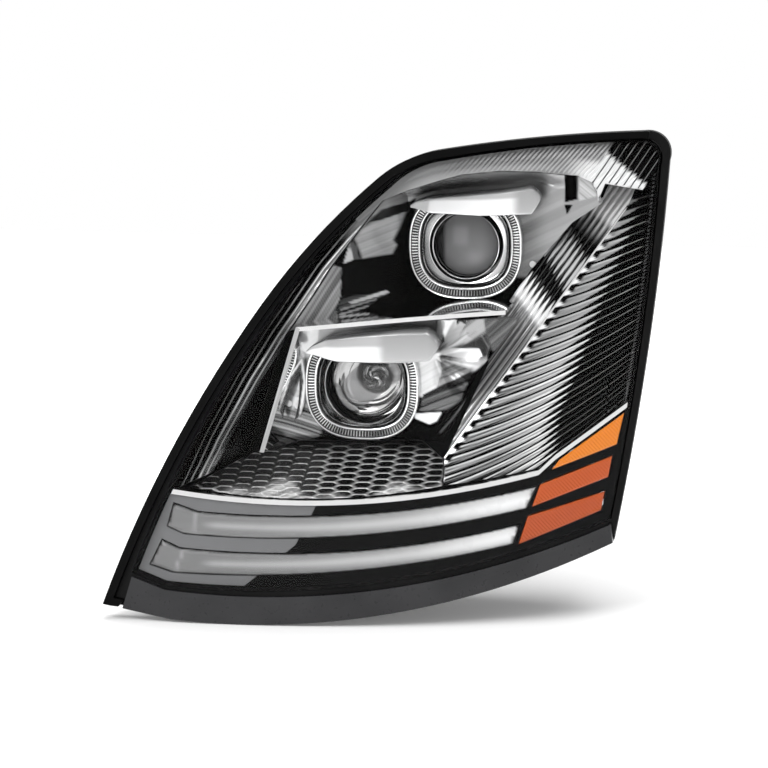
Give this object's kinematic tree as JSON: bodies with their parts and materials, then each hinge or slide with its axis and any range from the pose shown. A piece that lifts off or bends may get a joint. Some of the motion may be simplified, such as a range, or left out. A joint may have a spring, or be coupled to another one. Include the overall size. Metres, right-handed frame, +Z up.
{
  "type": "truck headlight assembly",
  "caption": "Left-hand truck headlight: swept clear lens over a low-beam projector and a high-beam lamp with light rings, light bars, amber signal, black housing, rear caps and aim screws.",
  "frame": {"origin": "centre of the two upper mounting holes, on the plane that bolts to the hood", "axes": "+X to the outboard end of the lamp, +Y to the rear of the vehicle, +Z up"},
  "size_m": [0.5578, 0.3837, 0.4987],
  "materials": {
    "housing_plastic": "moulded black polypropylene, fine texture",
    "clear_lens": "clear hard-coated polycarbonate",
    "sealant": "black butyl sealant",
    "seal_rubber": "matt black rubber",
    "trim_plastic": "satin dark grey",
    "chrome_plating": "bright vacuum-metallised plastic",
    "smoked_chrome": "smoked metallised plastic",
    "gloss_black": "polished black plastic",
    "frosted_guide": "frosted light guide",
    "clear_guide": "clear acrylic with fine teeth",
    "amber_plastic": "transparent amber with prisms",
    "circuit_board": "green solder mask",
    "optic_glass": "clear optical glass",
    "bulb_glass": "clear quartz glass",
    "amber_bulb_glass": "amber coated glass",
    "lamp_plastic": "glass-filled black nylon",
    "lamp_metal": "satin die-cast",
    "reflector_mirror": "aluminised bowl",
    "steel": "zinc plated",
    "brass": "machined brass",
    "die_cast": "cast and blasted",
    "connector_plastic": "dark grey nylon",
    "white_nylon": "natural nylon",
    "cap_rubber": "black moulded rubber and plastic"
  },
  "bodies": {
    "root": {"amber_chamber": "chrome_plating", "amber_lens_lower": "amber_plastic", "amber_lens_middle": "amber_plastic", "amber_lens_upper": "amber_plastic", "bezel_screws": "steel", "breather_vents": "seal_rubber", "chrome_lip": "chrome_plating", "driver_screws": "steel", "drl_bar_lower": "frosted_guide", "drl_bar_upper": "frosted_guide", "drl_bezel": "gloss_black", "drl_led_board": "circuit_board", "edge_seal": "seal_rubber", "high_beam_pivot_pins": "steel", "honeycomb_floor": "chrome_plating", "inboard_bezel": "gloss_black", "led_driver": "die_cast", "lens_seal": "sealant", "low_beam_pivot_pins": "steel", "lower_bezel": "chrome_plating", "lower_brow": "chrome_plating", "lower_light_ring": "clear_guide", "lower_ring_trim": "chrome_plating", "lower_trim": "trim_plastic", "mounting_inserts": "brass", "outboard_bezel": "smoked_chrome", "outer_lens": "clear_lens", "power_connector": "connector_plastic", "rear_housing": "housing_plastic", "upper_bezel": "smoked_chrome", "upper_brow": "chrome_plating", "upper_light_ring": "clear_guide", "upper_plate": "smoked_chrome", "upper_ring_trim": "smoked_chrome"},
    "low_beam_module": {"low_beam_carrier": "lamp_plastic", "low_beam_lens": "optic_glass", "low_beam_retainer": "lamp_metal", "low_beam_reflector": "reflector_mirror", "low_beam_shield": "steel", "low_beam_bulb": "bulb_glass"},
    "low_beam_bail": {"low_beam_clip": "steel"},
    "low_beam_screw": {"low_beam_aim_stud": "steel"},
    "low_beam_knob": {"low_beam_aim_gear": "white_nylon"},
    "low_beam_cap": {"low_beam_dust_cap": "cap_rubber", "low_beam_cap_gasket": "seal_rubber"},
    "high_beam_module": {"high_beam_carrier": "lamp_plastic", "high_beam_lens": "optic_glass", "high_beam_reflector": "reflector_mirror", "high_beam_bulb": "bulb_glass", "high_beam_bulb_shield": "steel"},
    "high_beam_bail": {"high_beam_clip": "steel"},
    "high_beam_screw": {"high_beam_aim_stud": "steel"},
    "high_beam_knob": {"high_beam_aim_gear": "white_nylon"},
    "high_beam_cap": {"high_beam_dust_cap": "cap_rubber", "high_beam_cap_gasket": "seal_rubber"},
    "turn_signal_holder": {"turn_signal_socket": "connector_plastic", "turn_signal_bulb": "amber_bulb_glass"},
    "marker_holder": {"marker_socket": "connector_plastic", "marker_bulb": "amber_bulb_glass"}
  },
  "joints": [
    {"name": "low_beam_tilt", "type": "hinge", "parent": "root", "child": "low_beam_module", "pos_m": [-0.0125, -0.044, 0.034], "axis": [1, 0, 0], "range_deg": [-3, 3]},
    {"name": "low_beam_screw_travel", "type": "slide", "parent": "root", "child": "low_beam_screw", "axis": [0, 1, 0], "range_m": [-0.004, 0.004]},
    {"name": "low_beam_knob_turn", "type": "hinge", "parent": "root", "child": "low_beam_knob", "pos_m": [-0.0125, -0.005, -0.041], "axis": [0, 1, 0], "range_deg": [-710, 710]},
    {"name": "low_beam_bail_swing", "type": "hinge", "parent": "low_beam_module", "child": "low_beam_bail", "pos_m": [-0.0125, 0.0166, 0.017], "axis": [-1, 0, 0], "range_deg": [0, 90]},
    {"name": "low_beam_cap_twist", "type": "hinge", "parent": "root", "child": "low_beam_cap", "pos_m": [-0.0125, 0.058, 0.034], "axis": [0, 1, 0], "range_deg": [0, 60]},
    {"name": "high_beam_tilt", "type": "hinge", "parent": "root", "child": "high_beam_module", "pos_m": [-0.1095, -0.124, -0.11], "axis": [1, 0, 0], "range_deg": [-3, 3]},
    {"name": "high_beam_screw_travel", "type": "slide", "parent": "root", "child": "high_beam_screw", "axis": [0, 1, 0], "range_m": [-0.004, 0.004]},
    {"name": "high_beam_knob_turn", "type": "hinge", "parent": "root", "child": "high_beam_knob", "pos_m": [-0.1095, -0.07702, -0.185], "axis": [0, 1, 0], "range_deg": [-710, 710]},
    {"name": "high_beam_bail_swing", "type": "hinge", "parent": "high_beam_module", "child": "high_beam_bail", "pos_m": [-0.1095, -0.0634, -0.127], "axis": [-1, 0, 0], "range_deg": [0, 90]},
    {"name": "high_beam_cap_twist", "type": "hinge", "parent": "root", "child": "high_beam_cap", "pos_m": [-0.1095, -0.022, -0.11], "axis": [0, 1, 0], "range_deg": [0, 60]},
    {"name": "turn_signal_holder_twist", "type": "hinge", "parent": "root", "child": "turn_signal_holder", "pos_m": [0.1255, -0.06683, -0.172], "axis": [0, 1, 0], "range_deg": [0, 45]},
    {"name": "marker_holder_twist", "type": "hinge", "parent": "root", "child": "marker_holder", "pos_m": [0.0945, -0.08073, -0.231], "axis": [0, 1, 0], "range_deg": [0, 45]}
  ],
  "couplings": [
    {"joint": "low_beam_screw_travel", "follows": "low_beam_tilt", "m_per_rad": 0.075},
    {"joint": "low_beam_knob_turn", "follows": "low_beam_tilt", "ratio": 235.62},
    {"joint": "high_beam_screw_travel", "follows": "high_beam_tilt", "m_per_rad": 0.075},
    {"joint": "high_beam_knob_turn", "follows": "high_beam_tilt", "ratio": 235.62}
  ]
}
